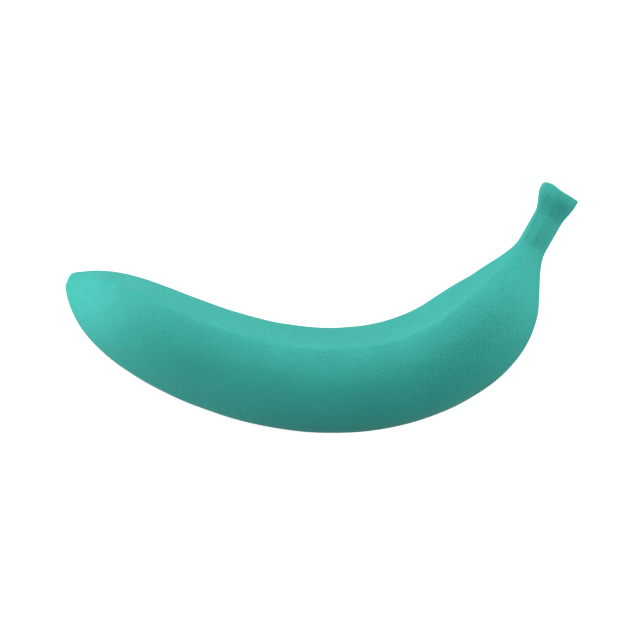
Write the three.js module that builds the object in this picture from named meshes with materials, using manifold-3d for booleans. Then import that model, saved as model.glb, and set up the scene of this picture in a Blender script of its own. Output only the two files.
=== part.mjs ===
// A banana picked with its stem, lying on its side. Millimetres, +Z up.
//
// The skin is one loft. A middle line runs from the blossom end at -X, round the belly and up the
// stem at +X, dropping a little at both ends, and an upright section of soft faces stands square to
// its heading all the way. The hollow of the bend faces +Y. The belly is pressed a little flat
// where it rests, at z = 0.

import Module from 'manifold-3d';
import * as THREE from 'three';
import { LoftGeometry } from 'three/addons/geometries/LoftGeometry.js';
import { mergeVertices } from 'three/addons/utils/BufferGeometryUtils.js';

// Lengths along the middle line. The finger runs from the blossom end to the foot of the stem,
// narrows over its last stretch, and is thickest at one place. The stem's flare stops just short of
// the cut.
const FINGER_LENGTH = 197;
const STEM_LENGTH = 21.7;
const NECK_TAPER = 51.5;
const STRAIGHT_NECK = 20.5;
const FLARE_LENGTH = 11;
const FLARE_RIM = 2;
const THICKEST_PLACE = 115;

// Thicknesses in the plane of the bend (width) and square to it (depth).
const FINGER_WIDTH = 38;
const FINGER_DEPTH = 36.5;
const TIP_WIDTH = 5.5;
const TIP_DEPTH = 4.2;
const STEM_WIDTH = 10.6;
const STEM_DEPTH = 8;
const TIP_ROUNDING = 1.1;

// The cut end's thicknesses and its rim's rounding, on the belly side and on the hollow side.
const END_WIDTH = [13.2, 16];
const END_DEPTH = [13, 12.5];
const RIM_ROUNDING = [0.5, 1.2];

// From the blossom end the thickness grows within a short length, by a power that sets how blunt
// the end is. The finger thins a little away from its thickest place, and the neck narrows by a
// power of the share passed.
const TIP_WIDENING_LENGTH = 13.5;
const TIP_WIDENING_POWER = 1;
const TIP_DEEPENING_LENGTH = 14;
const TIP_DEEPENING_POWER = 1.5;
const WIDTH_BARREL = 0.1;
const DEPTH_BARREL = 0.06;
const NECK_BEND = 3.2;
const NECK_NARROWING = 2;
const NECK_THINNING = 1.7;

// How far the middle line drops at each end, with the square of the share of its stretch passed.
const TIP_DROP = 7.5;
const TIP_DROP_LENGTH = 50;
const STEM_DROP = 4.5;
const STEM_DROP_LENGTH = 53;

// Heading of the middle line, in degrees anticlockwise from +X.
const TIP_HEADING = -36.5;
const STEM_HEADING = 60.2;
const STEADY_TURN = 0.44;
const LATE_TURN_POWER = 2.9;

// How deep the belly is pressed flat where it rests.
const REST_FLAT = 0.5;

// The section's faces, on the finger and then on the stem: the way each one looks, in degrees round
// the middle line from the hollow side over the top, and how far out it lies. The round faces run
// softly into each other, and the flat one meets them at a crisper ridge, softer at the tip and on
// the stem.
const ROUND_FACES = [
  { looks: [22, 0], distance: [1, 1] },
  { looks: [93.5, 86], distance: [0.86, 0.81] },
  { looks: [151, 139], distance: [0.84, 0.88] },
  { looks: [223, 211], distance: [0.96, 0.96] },
  { looks: [-51, -71], distance: [0.96, 0.96] },
];
const FLAT_FACE = { looks: [22, 0], distance: [0.84, 0.84] };
const FACES_TURN_START = 184;
const FACES_TURN_END = 210;
const SOFT_RIDGE = 3.5;
const CRISP_RIDGE = 90;
const TIP_RIDGE = 6;
const STEM_RIDGE = 12;
const TIP_RIDGE_LENGTH = 35;

const SKIN_COLOUR = 0x3ea396;
const SKIN_ROUGHNESS = 0.62;

// Fineness of the loft.
const SECTION_POINTS = 36;
const LONGEST_STEP = 3.5;
const SHORTEST_STEP = 0.5;
const STEP_GROWTH = 0.25;
const WALK_STEP = 0.5;
const WELD_DISTANCE = 1e-5;

const TOTAL_LENGTH = FINGER_LENGTH + STEM_LENGTH;
const BENT_LENGTH = FINGER_LENGTH - STRAIGHT_NECK;
const MIDDLE_HEIGHT = FINGER_DEPTH / 2 - REST_FLAT;

/** How much a rounded end takes off the thickness on each side, at a distance from that end. */
function rounding(fromEnd, radius) {
  const into = Math.max(0, 1 - fromEnd / radius);
  return radius * (1 - Math.sqrt(1 - into ** 2));
}

/** Half the thickness at a distance along the middle line. */
function halfThickness(along, { full, tip, stem, barrel, growthLength, growthPower, neckPower }, end) {
  const grown = 1 - Math.exp(-((along / growthLength) ** growthPower));
  const fullest = full * (1 - barrel * (along / THICKEST_PLACE - 1) ** 2);
  const finger = tip + (fullest - tip) * grown;
  const passed = THREE.MathUtils.clamp((along - FINGER_LENGTH + NECK_TAPER) / NECK_TAPER, 0, 1);
  const kept = (1 - passed ** NECK_BEND) ** neckPower;
  const flareStart = TOTAL_LENGTH - FLARE_LENGTH;
  const flare = THREE.MathUtils.smoothstep(along, flareStart, TOTAL_LENGTH - FLARE_RIM);
  return (stem + (finger - stem) * kept + (end - stem) * flare) / 2;
}

/** How far out the unscaled section lies, at an angle round the middle line and a place along. */
function reach(angle, along) {
  const stemShare = THREE.MathUtils.smoothstep(along, FACES_TURN_START, FACES_TURN_END);
  const nearness = ({ looks, distance }) => {
    const look = THREE.MathUtils.degToRad(THREE.MathUtils.lerp(...looks, stemShare));
    return Math.max(0, Math.cos(angle - look)) / THREE.MathUtils.lerp(...distance, stemShare);
  };
  const blend = (parts, power) => parts.reduce((sum, part) => sum + part ** power, 0) ** (1 / power);
  const round = blend(ROUND_FACES.map(nearness), SOFT_RIDGE);
  const tipShare = THREE.MathUtils.smoothstep(along, 0, TIP_RIDGE_LENGTH);
  const fingerRidge = THREE.MathUtils.lerp(TIP_RIDGE, CRISP_RIDGE, tipShare);
  const crispness = THREE.MathUtils.lerp(fingerRidge, STEM_RIDGE, stemShare);
  return 1 / blend([round, nearness(FLAT_FACE)], crispness);
}

/** The section as points that just fill a square from -1 to 1: x to the hollow side, y up. */
function sectionOutline(along) {
  const points = Array.from({ length: SECTION_POINTS }, (_, i) => {
    const angle = 2 * Math.PI * i / SECTION_POINTS;
    return new THREE.Vector2(Math.cos(angle), Math.sin(angle)).multiplyScalar(reach(angle, along));
  });
  const box = new THREE.Box2().setFromPoints(points);
  const middle = box.getCenter(new THREE.Vector2());
  const half = box.getSize(new THREE.Vector2()).divideScalar(2);
  return points.map((point) => point.sub(middle).divide(half));
}

/** Height of the middle line, which drops with the square of the share passed of each end. */
function middleHeight(along) {
  const tipShare = Math.max(0, 1 - along / TIP_DROP_LENGTH);
  const stemShare = Math.max(0, 1 - (TOTAL_LENGTH - along) / STEM_DROP_LENGTH);
  return MIDDLE_HEIGHT - TIP_DROP * tipShare ** 2 - STEM_DROP * stemShare ** 2;
}

/** Heading of the middle line in radians: it turns steadily at first, then faster up to the neck. */
function heading(along) {
  const share = Math.min(along / BENT_LENGTH, 1);
  const turned = STEADY_TURN * share + (1 - STEADY_TURN) * share ** LATE_TURN_POWER;
  return THREE.MathUtils.degToRad(TIP_HEADING + (STEM_HEADING - TIP_HEADING) * turned);
}

/** Distances along the middle line where sections stand, closer together towards both ends. */
function stations() {
  const all = [0];
  while (all.at(-1) < TOTAL_LENGTH) {
    const fromEnd = Math.min(all.at(-1), TOTAL_LENGTH - all.at(-1));
    const step = Math.min(LONGEST_STEP, SHORTEST_STEP + STEP_GROWTH * fromEnd);
    all.push(Math.min(all.at(-1) + step, TOTAL_LENGTH));
  }
  return all;
}

const WIDTH = {
  full: FINGER_WIDTH,
  tip: TIP_WIDTH,
  stem: STEM_WIDTH,
  barrel: WIDTH_BARREL,
  growthLength: TIP_WIDENING_LENGTH,
  growthPower: TIP_WIDENING_POWER,
  neckPower: NECK_NARROWING,
};
const DEPTH = {
  full: FINGER_DEPTH,
  tip: TIP_DEPTH,
  stem: STEM_DEPTH,
  barrel: DEPTH_BARREL,
  growthLength: TIP_DEEPENING_LENGTH,
  growthPower: TIP_DEEPENING_POWER,
  neckPower: NECK_THINNING,
};

/** The loft's sections, each square to the heading of the middle line, walked in small steps. */
function sections() {
  const middle = new THREE.Vector3();
  let walked = 0;
  return stations().map((along) => {
    const steps = Math.ceil((along - walked) / WALK_STEP);
    for (let i = 0; i < steps; i += 1) {
      const step = (along - walked) / steps;
      const turn = heading(walked + (i + 0.5) * step);
      middle.add(new THREE.Vector3(Math.cos(turn), Math.sin(turn), 0).multiplyScalar(step));
    }
    walked = along;
    middle.z = middleHeight(along);
    const hollowWay = new THREE.Vector3(-Math.sin(heading(along)), Math.cos(heading(along)), 0);
    return sectionOutline(along).map((point) => {
      const hollowShare = (1 + point.x) / 2;
      const rim = THREE.MathUtils.lerp(...RIM_ROUNDING, hollowShare);
      const inset = rounding(along, TIP_ROUNDING) + rounding(TOTAL_LENGTH - along, rim);
      const halfWidth = halfThickness(along, WIDTH, THREE.MathUtils.lerp(...END_WIDTH, hollowShare));
      const halfDepth = halfThickness(along, DEPTH, THREE.MathUtils.lerp(...END_DEPTH, hollowShare));
      return middle.clone()
        .addScaledVector(hollowWay, point.x * (halfWidth - inset))
        .add(new THREE.Vector3(0, 0, point.y * (halfDepth - inset)));
    });
  });
}

const wasm = await Module();
wasm.setup();

/** A closed geometry as a solid that can be cut. */
function toSolid(geometry) {
  const bare = new THREE.BufferGeometry().copy(geometry);
  const merged = mergeVertices(bare.deleteAttribute('normal').deleteAttribute('uv'), WELD_DISTANCE);
  return new wasm.Manifold(new wasm.Mesh({
    numProp: 3,
    vertProperties: new Float32Array(merged.getAttribute('position').array),
    triVerts: new Uint32Array(merged.getIndex().array),
  }));
}

/** A solid as a geometry again. */
function toGeometry(solid) {
  const { vertProperties, triVerts } = solid.getMesh();
  const geometry = new THREE.BufferGeometry();
  geometry.setAttribute('position', new THREE.BufferAttribute(vertProperties, 3));
  geometry.setIndex(new THREE.BufferAttribute(triVerts, 1));
  geometry.computeVertexNormals();
  return geometry;
}

/** The banana's geometry, pressed flat at z = 0, with the middle of its box on the Z axis. */
function bananaGeometry() {
  const loft = new LoftGeometry(sections(), { capStart: true, capEnd: true });
  loft.computeBoundingBox();
  const middle = loft.boundingBox.getCenter(new THREE.Vector3());
  loft.translate(-middle.x, -middle.y, 0);
  const size = loft.boundingBox.getSize(new THREE.Vector3());
  const floor = new THREE.BoxGeometry(2 * size.x, 2 * size.y, size.z);
  floor.translate(0, 0, -size.z / 2);
  return toGeometry(toSolid(loft).subtract(toSolid(floor)));
}

const skin = new THREE.MeshStandardMaterial({
  color: SKIN_COLOUR,
  roughness: SKIN_ROUGHNESS,
  metalness: 0,
});
const banana = new THREE.Mesh(bananaGeometry(), skin);
banana.name = 'banana';

const model = new THREE.Group();
model.add(banana);

export default model;
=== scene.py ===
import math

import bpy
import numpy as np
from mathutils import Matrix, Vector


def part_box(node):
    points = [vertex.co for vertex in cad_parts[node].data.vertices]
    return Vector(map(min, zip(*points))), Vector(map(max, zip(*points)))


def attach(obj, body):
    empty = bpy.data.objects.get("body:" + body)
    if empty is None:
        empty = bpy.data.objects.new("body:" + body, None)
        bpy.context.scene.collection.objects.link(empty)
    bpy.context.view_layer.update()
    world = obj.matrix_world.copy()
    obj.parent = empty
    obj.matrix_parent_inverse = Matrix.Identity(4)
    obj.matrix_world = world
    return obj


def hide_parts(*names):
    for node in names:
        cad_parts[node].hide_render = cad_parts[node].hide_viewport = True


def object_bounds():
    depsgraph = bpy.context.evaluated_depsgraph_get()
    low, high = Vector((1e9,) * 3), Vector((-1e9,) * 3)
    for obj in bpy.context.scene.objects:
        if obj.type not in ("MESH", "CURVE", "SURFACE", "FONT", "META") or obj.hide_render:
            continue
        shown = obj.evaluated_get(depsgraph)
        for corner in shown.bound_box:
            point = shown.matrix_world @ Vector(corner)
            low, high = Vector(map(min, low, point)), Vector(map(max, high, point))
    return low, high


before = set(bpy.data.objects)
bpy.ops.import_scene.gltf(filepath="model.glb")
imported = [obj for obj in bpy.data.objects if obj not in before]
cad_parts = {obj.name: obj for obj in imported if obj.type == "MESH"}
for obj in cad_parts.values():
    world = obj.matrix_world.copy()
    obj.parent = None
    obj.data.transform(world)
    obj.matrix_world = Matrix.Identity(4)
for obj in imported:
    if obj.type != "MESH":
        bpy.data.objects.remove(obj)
cad_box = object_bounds()

# A matte turquoise banana lying on its side on a pale floor, in metres, +Z up.
# The skin is one surface worked out from two parameters: how far along the banana, and how far
# round it. It follows the frame's banana and adds its ridges, cut end, scar and fine lumps.

MM = 0.001

# Lengths along the middle line, in millimetres. The finger runs from the blossom end to the foot
# of the stem, narrows over its last stretch, and is thickest at one place.
FINGER_LENGTH = 197
STEM_LENGTH = 21.7
NECK_TAPER = 51.5
STRAIGHT_NECK = 20.5
FLARE_LENGTH = 11
FLARE_RIM = 2
THICKEST_PLACE = 115
TOTAL_LENGTH = FINGER_LENGTH + STEM_LENGTH
BENT_LENGTH = FINGER_LENGTH - STRAIGHT_NECK

# Thicknesses in the plane of the bend (width) and square to it (depth), in millimetres.
FINGER_WIDTH = 38
FINGER_DEPTH = 36.5
TIP_WIDTH = 5.5
TIP_DEPTH = 4.2
STEM_WIDTH = 10.6
STEM_DEPTH = 8
TIP_ROUNDING = 1.1
REST_FLAT = 0.5
MIDDLE_HEIGHT = FINGER_DEPTH / 2 - REST_FLAT

# The cut end's thicknesses and its rim's rounding, on the hollow side and on the belly side.
END_WIDTH_HOLLOW = 16
END_WIDTH_BELLY = 13.2
END_DEPTH_HOLLOW = 12.5
END_DEPTH_BELLY = 13
RIM_ROUNDING_HOLLOW = 1.2
RIM_ROUNDING_BELLY = 0.5

# The middle line drops towards the floor at both ends, in millimetres over its last stretch.
TIP_DROP = 7.5
TIP_DROP_LENGTH = 50
STEM_DROP = 4.5
STEM_DROP_LENGTH = 53

# Heading of the middle line, in degrees anticlockwise from +X. One share of the turn is steady, and
# the rest comes late, by a power.
TIP_HEADING = -36.5
STEM_HEADING = 60.2
STEADY_TURN = 0.44
LATE_TURN_POWER = 2.9

# From the blossom end the thickness grows within a short length, by a power that sets how blunt
# the end is. The finger thins a little away from its thickest place, and the neck narrows by a
# power of the share passed.
TIP_WIDENING_LENGTH = 13.5
TIP_WIDENING_POWER = 1
TIP_DEEPENING_LENGTH = 14
TIP_DEEPENING_POWER = 1.5
WIDTH_BARREL = 0.1
DEPTH_BARREL = 0.06
NECK_BEND = 3.2
NECK_NARROWING = 2
NECK_THINNING = 1.7

# The section's faces, on the finger and then on the stem: the way each looks, in degrees round the
# middle line from the hollow side over the top, and how far out it lies.
HOLLOW_FACE = ((22, 1.0), (0, 1.0))
TOP_FACE = ((93.5, 0.86), (86, 0.81))
BELLY_FACE = ((151, 0.84), (139, 0.88))
UNDER_BELLY_FACE = ((223, 0.96), (211, 0.96))
UNDER_HOLLOW_FACE = ((-51, 0.96), (-71, 0.96))
FLAT_FACE = ((22, 0.84), (0, 0.84))
FACES_TURN_START = 184
FACES_TURN_END = 210

# How crisply the faces meet: the round faces by a small power, and the flat one by a large power,
# which is smaller at the blossom end and on the stem.
SOFT_RIDGE = 3.5
CRISP_RIDGE = 90
TIP_RIDGE = 6
STEM_RIDGE = 12
TIP_RIDGE_LENGTH = 35

# Flutes run up the stem, and broad lumps lie all over the skin: heights in millimetres, numbers of
# waves round the banana, and lengths of the waves along it.
FLUTE_HEIGHT = 0.05
FLUTE_COUNTS = (5, 8, 13)
FLUTE_SHARES = (1.0, 0.7, 0.45)
FLUTE_START = 186
FLUTE_FULL = 204
FLUTE_WANDER = 0.5
FLUTE_WANDER_LENGTH = 9
LUMP_HEIGHT = 0.02
LUMP_WAVES = 26
LUMP_LENGTHS = (11, 32)
LUMP_ROUNDS = (1, 9)
LUMP_SEED = 11

# The cut face rises to a lobe on its hollow side, and is dished and grained with fibres. The
# blossom end bulges on its hollow side round a small dished scar. Places and widths are in
# millimetres across.
CUT_LOBE = 0.6
CUT_LOBE_PLACE = 4.6
CUT_LOBE_WIDTH = 2.6
CUT_LOBE_START = 207
CUT_DISH = 1.1
CUT_GRAIN = 0.16
CUT_FIBRES = 14
CUT_PITCHES = (4, 15)
CUT_SEED = 5
TIP_BULGE = 0.65
TIP_BULGE_PLACE = 1.2
TIP_BULGE_WIDTH = 2.2
TIP_BULGE_LENGTH = 5
SCAR_DISH = 0.3
SCAR_EDGE = 0.4

# Fineness of the surface, and how softly the floor presses it up, in square millimetres.
POINTS_ROUND = 208
SIDE_ROWS = 410
ROUNDING_ROWS = 9
SCAR_ROWS = 5
CUT_ROWS = 14
WALK_STEP = 0.1
FLOOR_SOFTNESS = 0.02


def smooth_step(low, high, at):
    """0 below low, 1 above high, and three squares less two cubes of the share between."""
    share = np.clip((at - low) / (high - low), 0, 1)
    return share**2 * (3 - 2 * share)


def rounding(from_end, radius):
    """What a rounded end takes off the thickness on each side: a quarter circle's inset."""
    into = np.clip(1 - from_end / radius, 0, 1)
    return radius * (1 - np.sqrt(1 - into**2))


def half_thickness(along, full, tip, stem, end, barrel, growth_length, growth_power, neck_power):
    """Half the thickness along the banana.

    From the tip it grows by one less an exponential of a power of the distance. The full value
    falls off with the square of the distance from the thickest place. The neck keeps a power of
    one less a power of the share passed, and the flare is a smooth step.
    """
    grown = 1 - np.exp(-((along / growth_length) ** growth_power))
    fullest = full * (1 - barrel * (along / THICKEST_PLACE - 1) ** 2)
    finger = tip + (fullest - tip) * grown
    passed = np.clip((along - FINGER_LENGTH + NECK_TAPER) / NECK_TAPER, 0, 1)
    kept = (1 - passed**NECK_BEND) ** neck_power
    flare = smooth_step(TOTAL_LENGTH - FLARE_LENGTH, TOTAL_LENGTH - FLARE_RIM, along)
    return (stem + (finger - stem) * kept + (end - stem) * flare) / 2


def heading(along):
    """Heading in radians: a steady turn plus one that grows with a power of the share passed."""
    share = np.minimum(along / BENT_LENGTH, 1)
    turned = STEADY_TURN * share + (1 - STEADY_TURN) * share**LATE_TURN_POWER
    return np.radians(TIP_HEADING + (STEM_HEADING - TIP_HEADING) * turned)


def middle_line(along):
    """The middle line's x, y and z: the running sum of small steps, each along the heading, at a
    height that drops with the square of the share passed of each end's stretch."""
    walked = np.arange(0, TOTAL_LENGTH + WALK_STEP, WALK_STEP)
    turn = heading(walked[:-1] + WALK_STEP / 2)
    x = np.r_[0, np.cumsum(np.cos(turn) * WALK_STEP)]
    y = np.r_[0, np.cumsum(np.sin(turn) * WALK_STEP)]
    tip_share = np.clip(1 - along / TIP_DROP_LENGTH, 0, 1)
    stem_share = np.clip(1 - (TOTAL_LENGTH - along) / STEM_DROP_LENGTH, 0, 1)
    z = MIDDLE_HEIGHT - TIP_DROP * tip_share**2 - STEM_DROP * stem_share**2
    return np.interp(along, walked, x), np.interp(along, walked, y), z


def blend_powers(parts, power):
    """The power sum of several nearnesses, which a larger power makes closer to the largest."""
    return sum(part**power for part in parts) ** (1 / power)


def section(turn, along):
    """The section as across and up, each filling -1 to 1 in every row.

    The reach in a direction is one over the power sum of the cosines to every face, each divided
    by how far out the face lies. The flat face is joined in with a larger power, so the ridge
    beside it stays crisp.
    """
    stem_share = smooth_step(FACES_TURN_START, FACES_TURN_END, along)

    def nearness(face):
        (finger_look, finger_outness), (stem_look, stem_outness) = face
        look = finger_look + (stem_look - finger_look) * stem_share
        outness = finger_outness + (stem_outness - finger_outness) * stem_share
        return np.maximum(np.cos(turn - np.radians(look)), 0) / outness

    round_faces = (HOLLOW_FACE, TOP_FACE, BELLY_FACE, UNDER_BELLY_FACE, UNDER_HOLLOW_FACE)
    round_part = blend_powers([nearness(face) for face in round_faces], SOFT_RIDGE)
    finger_ridge = TIP_RIDGE + (CRISP_RIDGE - TIP_RIDGE) * smooth_step(0, TIP_RIDGE_LENGTH, along)
    crispness = finger_ridge + (STEM_RIDGE - finger_ridge) * stem_share
    reach = 1 / blend_powers((round_part, nearness(FLAT_FACE)), crispness)
    across, up = reach * np.cos(turn), reach * np.sin(turn)

    def filled(part):
        low, high = part.min(1, keepdims=True), part.max(1, keepdims=True)
        return (2 * part - low - high) / (high - low)

    return filled(across), filled(up)


def lumps(turn, along):
    """Broad low lumps in millimetres: a sum of sine waves whose length along the banana, number
    round it and start are seeded, shrunk to one height."""
    seeded = np.random.default_rng(LUMP_SEED)
    lengths = seeded.uniform(*LUMP_LENGTHS, LUMP_WAVES)
    rounds = seeded.integers(*LUMP_ROUNDS, LUMP_WAVES) * seeded.choice((-1, 1), LUMP_WAVES)
    starts = seeded.uniform(0, 2 * math.pi, LUMP_WAVES)
    waves = sum(np.sin(2 * math.pi * along / length + around * turn + start)
                for length, around, start in zip(lengths, rounds, starts))
    return LUMP_HEIGHT * waves / math.sqrt(LUMP_WAVES / 2)


def flutes(turn, along):
    """Lengthwise flutes in millimetres: cosines of several whole numbers of turns, wandering a
    little with the distance along, that fade in towards the stem."""
    wander = FLUTE_WANDER * np.sin(along / FLUTE_WANDER_LENGTH)
    waves = sum(share * np.cos(count * turn + wander + count)
                for count, share in zip(FLUTE_COUNTS, FLUTE_SHARES))
    return FLUTE_HEIGHT * waves * smooth_step(FLUTE_START, FLUTE_FULL, along)


def end_push(aside, across, up, along, spread):
    """How far a point moves along the middle line, in millimetres, at the two end faces.

    At the cut it is a bell-shaped lobe on the hollow side, a dish of one less the square of the
    spread, and seeded waves for the fibres. At the blossom end it is a bell-shaped bulge
    outwards, and a dish of the same kind.
    """
    def bell(place, width):
        return np.exp(-(((aside - place) / width) ** 2))

    near_cut = smooth_step(CUT_LOBE_START, TOTAL_LENGTH, along)
    near_tip = 1 - smooth_step(0, TIP_BULGE_LENGTH, along)
    dish = 1 - spread**2
    seeded = np.random.default_rng(CUT_SEED)
    pitch_across, pitch_up = seeded.uniform(*CUT_PITCHES, (2, CUT_FIBRES))
    starts = seeded.uniform(0, 2 * math.pi, CUT_FIBRES)
    waves = sum(np.sin(per_across * across + per_up * up + start)
                for per_across, per_up, start in zip(pitch_across, pitch_up, starts))
    fibres = waves / math.sqrt(CUT_FIBRES)
    at_cut = near_cut * CUT_LOBE * bell(CUT_LOBE_PLACE, CUT_LOBE_WIDTH)
    at_tip = near_tip * TIP_BULGE * bell(TIP_BULGE_PLACE, TIP_BULGE_WIDTH)
    on_cut = (along >= TOTAL_LENGTH) * dish * (CUT_GRAIN * fibres - CUT_DISH)
    on_scar = (along <= 0) * dish * SCAR_DISH
    return at_cut - at_tip + on_cut + on_scar


def meridian():
    """Where each row of the surface lies: its distance along, and its spread from 0, at the middle
    of an end face, to 1, on the skin. Rounded edges get rows at even angles."""
    quarter = np.linspace(0, math.pi / 2, ROUNDING_ROWS + 1)[:-1]
    tip_edge = TIP_ROUNDING * (1 - np.cos(quarter))
    rim_edge = TOTAL_LENGTH - RIM_ROUNDING_HOLLOW * (1 - np.cos(quarter[::-1]))
    side = np.linspace(TIP_ROUNDING, TOTAL_LENGTH - RIM_ROUNDING_HOLLOW, SIDE_ROWS)
    skin = np.r_[tip_edge, side, rim_edge]
    scar = np.arange(SCAR_ROWS) / SCAR_ROWS
    cut = np.arange(CUT_ROWS - 1, -1, -1) / CUT_ROWS
    along = np.r_[np.zeros(len(scar)), skin, np.full(len(cut), TOTAL_LENGTH)]
    spread = np.r_[scar, np.ones(len(skin)), cut]
    return along[:, None], spread[:, None]


def banana_points(along, spread, turn):
    """The surface's rows of points in millimetres; the first and last rows are single points.

    A point is the middle line plus spread times half width times across, towards the hollow side,
    plus spread times half depth times up. Lumps, which shrink with the width, and flutes are added
    to both halves, and the rounding of the ends is taken off. Near the ends a point moves along the
    middle line. Below the floor it is pressed up by a soft maximum, half of its height plus the
    root of the height's square plus a softness. The whole is centred on the frame's banana.
    """
    across, up = section(turn + 0 * along, along)
    hollow_share = (1 + across) / 2
    end_width = END_WIDTH_BELLY + (END_WIDTH_HOLLOW - END_WIDTH_BELLY) * hollow_share
    end_depth = END_DEPTH_BELLY + (END_DEPTH_HOLLOW - END_DEPTH_BELLY) * hollow_share
    rim = RIM_ROUNDING_BELLY + (RIM_ROUNDING_HOLLOW - RIM_ROUNDING_BELLY) * hollow_share
    inset = rounding(along, TIP_ROUNDING) + rounding(TOTAL_LENGTH - along, rim)
    half_width = half_thickness(
        along, FINGER_WIDTH, TIP_WIDTH, STEM_WIDTH, end_width,
        WIDTH_BARREL, TIP_WIDENING_LENGTH, TIP_WIDENING_POWER, NECK_NARROWING)
    half_depth = half_thickness(
        along, FINGER_DEPTH, TIP_DEPTH, STEM_DEPTH, end_depth,
        DEPTH_BARREL, TIP_DEEPENING_LENGTH, TIP_DEEPENING_POWER, NECK_THINNING)
    rough = lumps(turn, along) * half_width * 2 / FINGER_WIDTH + flutes(turn, along) - inset
    middle_x, middle_y, middle_z = middle_line(along)
    way = heading(along)
    aside = across * (half_width + rough) * spread
    push = end_push(aside, across * spread, up * spread, along, spread)
    x = middle_x - np.sin(way) * aside + np.cos(way) * push
    y = middle_y + np.cos(way) * aside + np.sin(way) * push
    z = middle_z + up * (half_depth + rough) * spread
    z = (z + np.sqrt(z**2 + FLOOR_SOFTNESS)) / 2
    points = np.stack([x, y, z], axis=-1)
    low, high = points.reshape(-1, 3).min(0), points.reshape(-1, 3).max(0)
    frame_low, frame_high = (np.array(corner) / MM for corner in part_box("banana"))
    return points + [*(frame_low + frame_high - low - high)[:2] / 2, 0]


def closed_tube(name, points):
    """A mesh from rows of points: closed rings joined by four-sided faces, and a fan of triangles
    from the first and the last ring to the single points that the outermost rows are."""
    rows = points[1:-1]
    count, around = rows.shape[:2]
    ring = np.arange(around)
    following = np.roll(ring, -1)
    start = (np.arange(count - 1) * around)[:, None]
    quads = np.stack(
        [start + ring, start + following, start + around + following, start + around + ring],
        axis=-1)
    last = (count - 1) * around
    pole = np.full(around, count * around)
    first_fan = np.stack([pole, following, ring], axis=-1)
    last_fan = np.stack([pole + 1, last + ring, last + following], axis=-1)
    vertices = np.vstack([rows.reshape(-1, 3), points[0, 0], points[-1, 0]]) * MM
    faces = quads.reshape(-1, 4).tolist() + first_fan.tolist() + last_fan.tolist()
    mesh = bpy.data.meshes.new(name)
    mesh.from_pydata(vertices.tolist(), [], faces)
    mesh.shade_smooth()
    piece = bpy.data.objects.new(name, mesh)
    bpy.context.collection.objects.link(piece)
    return piece


def lay_values(mesh, name, grid):
    """Writes a named value, or a vector, to every vertex from its grid of rows."""
    wide = grid.shape[-1] if grid.ndim == 3 else 1
    ringed = grid[1:-1].reshape(-1, wide)
    ends = np.vstack([grid[0, 0].reshape(-1, wide), grid[-1, 0].reshape(-1, wide)])
    kind, field = ("FLOAT_VECTOR", "vector") if wide == 3 else ("FLOAT", "value")
    laid = mesh.attributes.new(name, kind, "POINT")
    laid.data.foreach_set(field, np.vstack([ringed, ends]).ravel().astype(np.float32))


along, spread = meridian()
turn = np.radians(270) + np.linspace(0, 2 * math.pi, POINTS_ROUND, endpoint=False)[None, :]
banana = closed_tube("banana_skin", banana_points(along, spread, turn))

# Values laid on the surface for its materials: how much of a point is stem, and its place along
# and round the banana, which the fibres follow. The place round is on a circle of one radius, in
# millimetres, so the fibres stay side by side.
FIBRE_CIRCLE = 5
every_along = 0 * turn + along
around_x = (FIBRE_CIRCLE * np.cos(turn) + 0 * along) * spread
around_y = (FIBRE_CIRCLE * np.sin(turn) + 0 * along) * spread
lay_values(banana.data, "stem", smooth_step(FLUTE_START, FLUTE_FULL, every_along))
lay_values(banana.data, "lengthwise", np.stack([every_along, around_x, around_y], axis=-1) * MM)

# Each row of faces has the material of the skin, the cut end or the scar, by its number in the list
# that is appended below.
SKIN_INDEX = 0
CUT_INDEX = 1
SCAR_INDEX = 2
end_index = np.where(along[:, 0] >= TOTAL_LENGTH, CUT_INDEX, SKIN_INDEX)
row_index = np.where(along[:, 0] <= SCAR_EDGE, SCAR_INDEX, end_index)
ring_indices = np.repeat(row_index[2:-1], POINTS_ROUND)
fan_indices = np.repeat([SCAR_INDEX, CUT_INDEX], POINTS_ROUND)
banana.data.polygons.foreach_set("material_index", np.r_[ring_indices, fan_indices].astype(np.int32))
banana.data.update()


# Materials.

# Colours from dark to light for the skin, the stem, the cut end and the scar, and their finish.
SKIN_DARK = (0.015, 0.256, 0.217)
SKIN_LIGHT = (0.045, 0.545, 0.461)
STEM_DARK = (0.030, 0.345, 0.290)
STEM_LIGHT = (0.042, 0.445, 0.378)
CUT_DARK = (0.030, 0.265, 0.222)
CUT_LIGHT = (0.046, 0.365, 0.308)
SCAR_DARK = (0.034, 0.290, 0.244)
SCAR_LIGHT = (0.048, 0.385, 0.326)
SPECULAR = 0.3
SHEEN = 0.12
SHEEN_ROUGHNESS = 0.3
SKIN_ROUGHNESS = (0.54, 0.68)
CUT_ROUGHNESS = (0.66, 0.84)
SCAR_ROUGHNESS = (0.62, 0.80)

# How many of each pattern go to a metre.
PEBBLE_RATE = 3000
CUT_PEBBLE_RATE = 1500
SCAR_PEBBLE_RATE = 1800
CELL_RATE = 900
TINT_RATE = 55
FIBRE_RATE = 1500

# The coarse noise's fineness and height against the fine noise's, the lengthwise stretch of the
# fibres, the part of the noise's range that is used, and the shares that specks, slow drift and the
# stem's streaks have in the colour.
COARSE_SHARE = 0.31
COARSE_HEIGHT = 0.6
FIBRE_STRETCH = 0.07
NOISE_LOW = 0.2
NOISE_HIGH = 0.8
SPECK_SHARE = 0.88
DRIFT_SHARE = 0.12
STREAK_SHARE = 0.6

# Bumps: the height in metres, and the strength.
PEBBLE_BUMP = (0.0003, 1.0)
STREAK_BUMP = (0.00012, 0.6)
CELL_BUMP = (0.00025, 0.5)
CUT_BUMP = (0.00012, 0.5)
SCAR_BUMP = (0.00016, 0.6)


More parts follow.
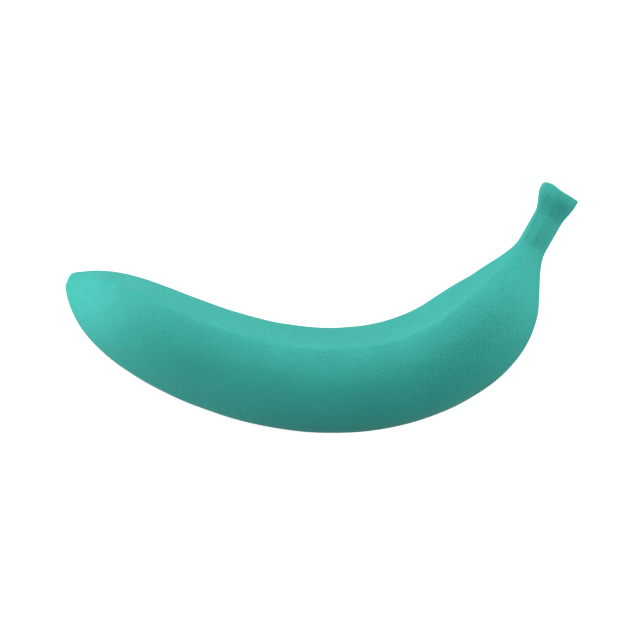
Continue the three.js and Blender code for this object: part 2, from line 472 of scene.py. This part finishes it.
def new_group(name, inputs, outputs):
    """An empty node group with named number inputs, after a Position, and named outputs."""
    group = bpy.data.node_groups.new(name, "ShaderNodeTree")
    group.interface.new_socket("Position", in_out="INPUT", socket_type="NodeSocketVector")
    for label in inputs:
        group.interface.new_socket(label, in_out="INPUT", socket_type="NodeSocketFloat")
    for label in outputs:
        group.interface.new_socket(label, in_out="OUTPUT", socket_type="NodeSocketFloat")
    return group, group.nodes.new("NodeGroupInput"), group.nodes.new("NodeGroupOutput")


def placed(tree, kind, **settings):
    """A new node with its settings; a setting named for an input, with spaces, fills that input."""
    node = tree.nodes.new(kind)
    for label, value in settings.items():
        if hasattr(node, label):
            setattr(node, label, value)
        else:
            node.inputs[label.replace("_", " ")].default_value = value
    return node


def pebble_grain():
    """Group: fine pebbles from two sizes of noise. Speck runs from 0 to 1 and Height is higher on
    the middle of a pebble."""
    group, given, result = new_group("pebble grain", ["Pebbles per metre"], ["Speck", "Height"])
    fine = placed(group, "ShaderNodeTexNoise", Detail=1.5, Roughness=0.6)
    coarse = placed(group, "ShaderNodeTexNoise", Detail=1.0, Roughness=0.5)
    wider = placed(group, "ShaderNodeMath", operation="MULTIPLY")
    wider.inputs[1].default_value = COARSE_SHARE
    both = placed(group, "ShaderNodeMath", operation="MULTIPLY_ADD")
    both.inputs[1].default_value = COARSE_HEIGHT
    links = group.links
    links.new(given.outputs["Position"], fine.inputs["Vector"])
    links.new(given.outputs["Position"], coarse.inputs["Vector"])
    links.new(given.outputs["Pebbles per metre"], fine.inputs["Scale"])
    links.new(given.outputs["Pebbles per metre"], wider.inputs[0])
    links.new(wider.outputs["Value"], coarse.inputs["Scale"])
    links.new(coarse.outputs["Fac"], both.inputs[0])
    links.new(fine.outputs["Fac"], both.inputs[2])
    links.new(fine.outputs["Fac"], result.inputs["Speck"])
    links.new(both.outputs["Value"], result.inputs["Height"])
    return group


def lengthwise_fibres():
    """Group: streaks that run along the banana, from noise stretched lengthwise. Streak runs from
    0 to 1."""
    group, given, result = new_group("lengthwise fibres", ["Fibres per metre"], ["Streak"])
    stretch = placed(group, "ShaderNodeMapping")
    stretch.inputs["Scale"].default_value = (FIBRE_STRETCH, 1, 1)
    streaks = placed(group, "ShaderNodeTexNoise", Detail=2.0, Roughness=0.55)
    links = group.links
    links.new(given.outputs["Position"], stretch.inputs["Vector"])
    links.new(stretch.outputs["Vector"], streaks.inputs["Vector"])
    links.new(given.outputs["Fibres per metre"], streaks.inputs["Scale"])
    links.new(streaks.outputs["Fac"], result.inputs["Streak"])
    return group


PEBBLES = pebble_grain()
FIBRES = lengthwise_fibres()


def grouped(tree, group, amount_name, amount, position):
    """A node group placed in a material, with its fineness and what it reads its position from."""
    node = placed(tree, "ShaderNodeGroup", node_tree=group)
    node.inputs[amount_name].default_value = amount
    tree.links.new(position, node.inputs["Position"])
    return node


def ranged(tree, value, low, high):
    """A 0 to 1 value, whose noise keeps to its middle, carried to the range from low to high."""
    node = placed(tree, "ShaderNodeMapRange")
    node.inputs["From Min"].default_value = NOISE_LOW
    node.inputs["From Max"].default_value = NOISE_HIGH
    node.inputs["To Min"].default_value = low
    node.inputs["To Max"].default_value = high
    tree.links.new(value, node.inputs["Value"])
    return node.outputs["Result"]


def tinted(tree, share, first, second):
    """A colour between two, by a 0 to 1 share. Either may be a colour or another node's output."""
    node = placed(tree, "ShaderNodeMix", data_type="RGBA")
    tree.links.new(share, node.inputs[0])
    for socket, colour in ((node.inputs[6], first), (node.inputs[7], second)):
        if isinstance(colour, tuple):
            socket.default_value = (*colour, 1)
        else:
            tree.links.new(colour, socket)
    return node.outputs[2]


def bumped(tree, height, size, below=None):
    """A bump of the given size, on top of another bump if there is one."""
    distance, strength = size
    node = placed(tree, "ShaderNodeBump", Distance=distance, Strength=strength)
    tree.links.new(height, node.inputs["Height"])
    if below is not None:
        tree.links.new(below, node.inputs["Normal"])
    return node.outputs["Normal"]


def new_material(name):
    """A material with its shader, and the position in metres that its patterns read."""
    material = bpy.data.materials.new(name)
    material.use_nodes = True
    tree = material.node_tree
    place = placed(tree, "ShaderNodeTexCoord")
    return material, tree, tree.nodes["Principled BSDF"], place.outputs["Object"]


def turquoise_skin():
    """Matte skin: a slow drift of tint, fine specks, pebble bumps, and fibres on the stem."""
    material, tree, shader, place = new_material("turquoise skin")
    grain = grouped(tree, PEBBLES, "Pebbles per metre", PEBBLE_RATE, place)
    drift = placed(tree, "ShaderNodeTexNoise", Scale=TINT_RATE, Detail=3.0)
    tree.links.new(place, drift.inputs["Vector"])
    lengthwise = placed(tree, "ShaderNodeAttribute", attribute_name="lengthwise")
    fibres = grouped(tree, FIBRES, "Fibres per metre", FIBRE_RATE, lengthwise.outputs["Vector"])
    stem = placed(tree, "ShaderNodeAttribute", attribute_name="stem")
    speck = ranged(tree, grain.outputs["Speck"], 0.0, 1.0)
    tint = placed(tree, "ShaderNodeMath", operation="MULTIPLY_ADD")
    tint.inputs[1].default_value = SPECK_SHARE
    tree.links.new(ranged(tree, drift.outputs["Fac"], 0.0, DRIFT_SHARE), tint.inputs[2])
    tree.links.new(speck, tint.inputs[0])
    skin_colour = tinted(tree, tint.outputs["Value"], SKIN_DARK, SKIN_LIGHT)
    streak = ranged(tree, fibres.outputs["Streak"], 0.0, 1.0)
    stem_colour = tinted(tree, streak, STEM_DARK, STEM_LIGHT)
    streaked = placed(tree, "ShaderNodeMath", operation="MULTIPLY")
    streaked.inputs[1].default_value = STREAK_SHARE
    tree.links.new(stem.outputs["Fac"], streaked.inputs[0])
    colour = tinted(tree, streaked.outputs["Value"], skin_colour, stem_colour)
    streak_height = placed(tree, "ShaderNodeMath", operation="MULTIPLY")
    tree.links.new(streak, streak_height.inputs[0])
    tree.links.new(stem.outputs["Fac"], streak_height.inputs[1])
    normal = bumped(tree, streak_height.outputs["Value"], STREAK_BUMP)
    normal = bumped(tree, grain.outputs["Height"], PEBBLE_BUMP, normal)
    tree.links.new(colour, shader.inputs["Base Color"])
    tree.links.new(ranged(tree, grain.outputs["Speck"], *SKIN_ROUGHNESS), shader.inputs["Roughness"])
    tree.links.new(normal, shader.inputs["Normal"])
    shader.inputs["Specular IOR Level"].default_value = SPECULAR
    shader.inputs["Sheen Weight"].default_value = SHEEN
    shader.inputs["Sheen Roughness"].default_value = SHEEN_ROUGHNESS
    return material


def turquoise_cut_end():
    """The dry cut face: deeper colour, cell-like pits and a rough finish."""
    material, tree, shader, place = new_material("turquoise cut end")
    grain = grouped(tree, PEBBLES, "Pebbles per metre", CUT_PEBBLE_RATE, place)
    cells = placed(tree, "ShaderNodeTexVoronoi", Scale=CELL_RATE)
    tree.links.new(place, cells.inputs["Vector"])
    shade = ranged(tree, grain.outputs["Height"], 0.0, 1.0)
    colour = tinted(tree, shade, CUT_DARK, CUT_LIGHT)
    normal = bumped(tree, cells.outputs["Distance"], CELL_BUMP)
    normal = bumped(tree, grain.outputs["Height"], CUT_BUMP, normal)
    tree.links.new(colour, shader.inputs["Base Color"])
    tree.links.new(ranged(tree, grain.outputs["Speck"], *CUT_ROUGHNESS), shader.inputs["Roughness"])
    tree.links.new(normal, shader.inputs["Normal"])
    return material


def turquoise_scar():
    """The blossom scar: a little deeper and drier than the skin, wrinkled on a small scale."""
    material, tree, shader, place = new_material("turquoise blossom scar")
    grain = grouped(tree, PEBBLES, "Pebbles per metre", SCAR_PEBBLE_RATE, place)
    shade = ranged(tree, grain.outputs["Height"], 0.0, 1.0)
    colour = tinted(tree, shade, SCAR_DARK, SCAR_LIGHT)
    normal = bumped(tree, grain.outputs["Height"], SCAR_BUMP)
    tree.links.new(colour, shader.inputs["Base Color"])
    tree.links.new(ranged(tree, grain.outputs["Speck"], *SCAR_ROUGHNESS), shader.inputs["Roughness"])
    tree.links.new(normal, shader.inputs["Normal"])
    return material


for finish in (turquoise_skin(), turquoise_cut_end(), turquoise_scar()):
    banana.data.materials.append(finish)
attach(banana, "root")
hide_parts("banana")

# The camera looks straight down at one place on the floor, from where a given width fills its view.
# Everything is in metres.
LENS = 0.200
SENSOR = 0.036
VIEW_WIDTH = 0.2304
AIM = (-0.00047, -0.00455)

camera = bpy.data.objects.new("camera", bpy.data.cameras.new("camera"))
camera.data.lens = LENS / MM
camera.data.sensor_width = SENSOR / MM
camera.location = (*AIM, cad_box[1].z / 2 + VIEW_WIDTH * LENS / SENSOR)
bpy.context.collection.objects.link(camera)
bpy.context.scene.camera = camera

# A pale floor that glows to the camera, and is a plain grey to light that bounces off it.
FLOOR_REACH = 3
FLOOR_GLOW = 0.86
FLOOR_SEEN = (0.5, 0.5, 0.5, 1)
FLOOR_BOUNCE = (0.3, 0.3, 0.3, 1)

paper = bpy.data.materials.new("pale floor")
paper.use_nodes = True
paper_nodes = paper.node_tree.nodes
paper_nodes.clear()
path = paper_nodes.new("ShaderNodeLightPath")
bounce = paper_nodes.new("ShaderNodeBsdfDiffuse")
bounce.inputs["Color"].default_value = FLOOR_BOUNCE
seen = paper_nodes.new("ShaderNodeBsdfDiffuse")
seen.inputs["Color"].default_value = FLOOR_SEEN
glow = paper_nodes.new("ShaderNodeEmission")
glow.inputs["Strength"].default_value = FLOOR_GLOW
bright = paper_nodes.new("ShaderNodeAddShader")
choice = paper_nodes.new("ShaderNodeMixShader")
paper_end = paper_nodes.new("ShaderNodeOutputMaterial")
paper.node_tree.links.new(seen.outputs["BSDF"], bright.inputs[0])
paper.node_tree.links.new(glow.outputs["Emission"], bright.inputs[1])
paper.node_tree.links.new(path.outputs["Is Camera Ray"], choice.inputs["Fac"])
paper.node_tree.links.new(bounce.outputs["BSDF"], choice.inputs[1])
paper.node_tree.links.new(bright.outputs["Shader"], choice.inputs[2])
paper.node_tree.links.new(choice.outputs["Shader"], paper_end.inputs["Surface"])

corners = [(-1, -1), (1, -1), (1, 1), (-1, 1)]
floor_mesh = bpy.data.meshes.new("floor")
floor_points = [(x * FLOOR_REACH, y * FLOOR_REACH, 0) for x, y in corners]
floor_mesh.from_pydata(floor_points, [], [(0, 1, 2, 3)])
floor_mesh.materials.append(paper)
floor = bpy.data.objects.new("floor", floor_mesh)
bpy.context.collection.objects.link(floor)

# Soft boxes a metre from the banana's middle: the direction each stands in, in degrees
# anticlockwise from +X and up from the floor, its power in watts, and its width and height in
# metres.
LIGHT_DISTANCE = 1.0
SOFT_BOXES = (
    ("left_low", 180, 11, 5, 0.5, 0.3),
    ("back_left_low", 135, 11, 6, 0.5, 0.3),
    ("back_low", 90, 2, 2, 0.5, 0.3),
    ("back_right_low", 45, 11, 2, 0.5, 0.3),
    ("right_low", 0, 11, 4, 0.5, 0.3),
    ("front_left_low", 225, 11, 4, 0.5, 0.3),
    ("back_left_high", 135, 36, 4, 0.5, 0.5),
    ("right_high", 15, 36, 5, 0.5, 0.5))


def soft_box(name, azimuth, elevation, watts, width, height):
    """An area light that looks at the banana's middle from the given direction."""
    turned, raised = math.radians(azimuth), math.radians(elevation)
    away = Vector((
        math.cos(raised) * math.cos(turned), math.cos(raised) * math.sin(turned), math.sin(raised)))
    lamp = bpy.data.lights.new(name, "AREA")
    lamp.shape = "RECTANGLE"
    lamp.size = width
    lamp.size_y = height
    lamp.energy = watts
    light = bpy.data.objects.new(name, lamp)
    light.location = Vector((0, 0, cad_box[1].z / 2)) + away * LIGHT_DISTANCE
    light.rotation_euler = away.to_track_quat("Z", "Y").to_euler()
    bpy.context.collection.objects.link(light)


for box in SOFT_BOXES:
    soft_box(*box)

ROOM_COLOUR = (0.8, 0.85, 0.9, 1)
ROOM_STRENGTH = 0.02

air = bpy.data.worlds.new("dim room")
air.use_nodes = True
background = air.node_tree.nodes["Background"]
background.inputs["Color"].default_value = ROOM_COLOUR
background.inputs["Strength"].default_value = ROOM_STRENGTH
bpy.context.scene.world = air

bpy.context.scene.view_settings.view_transform = "Standard"
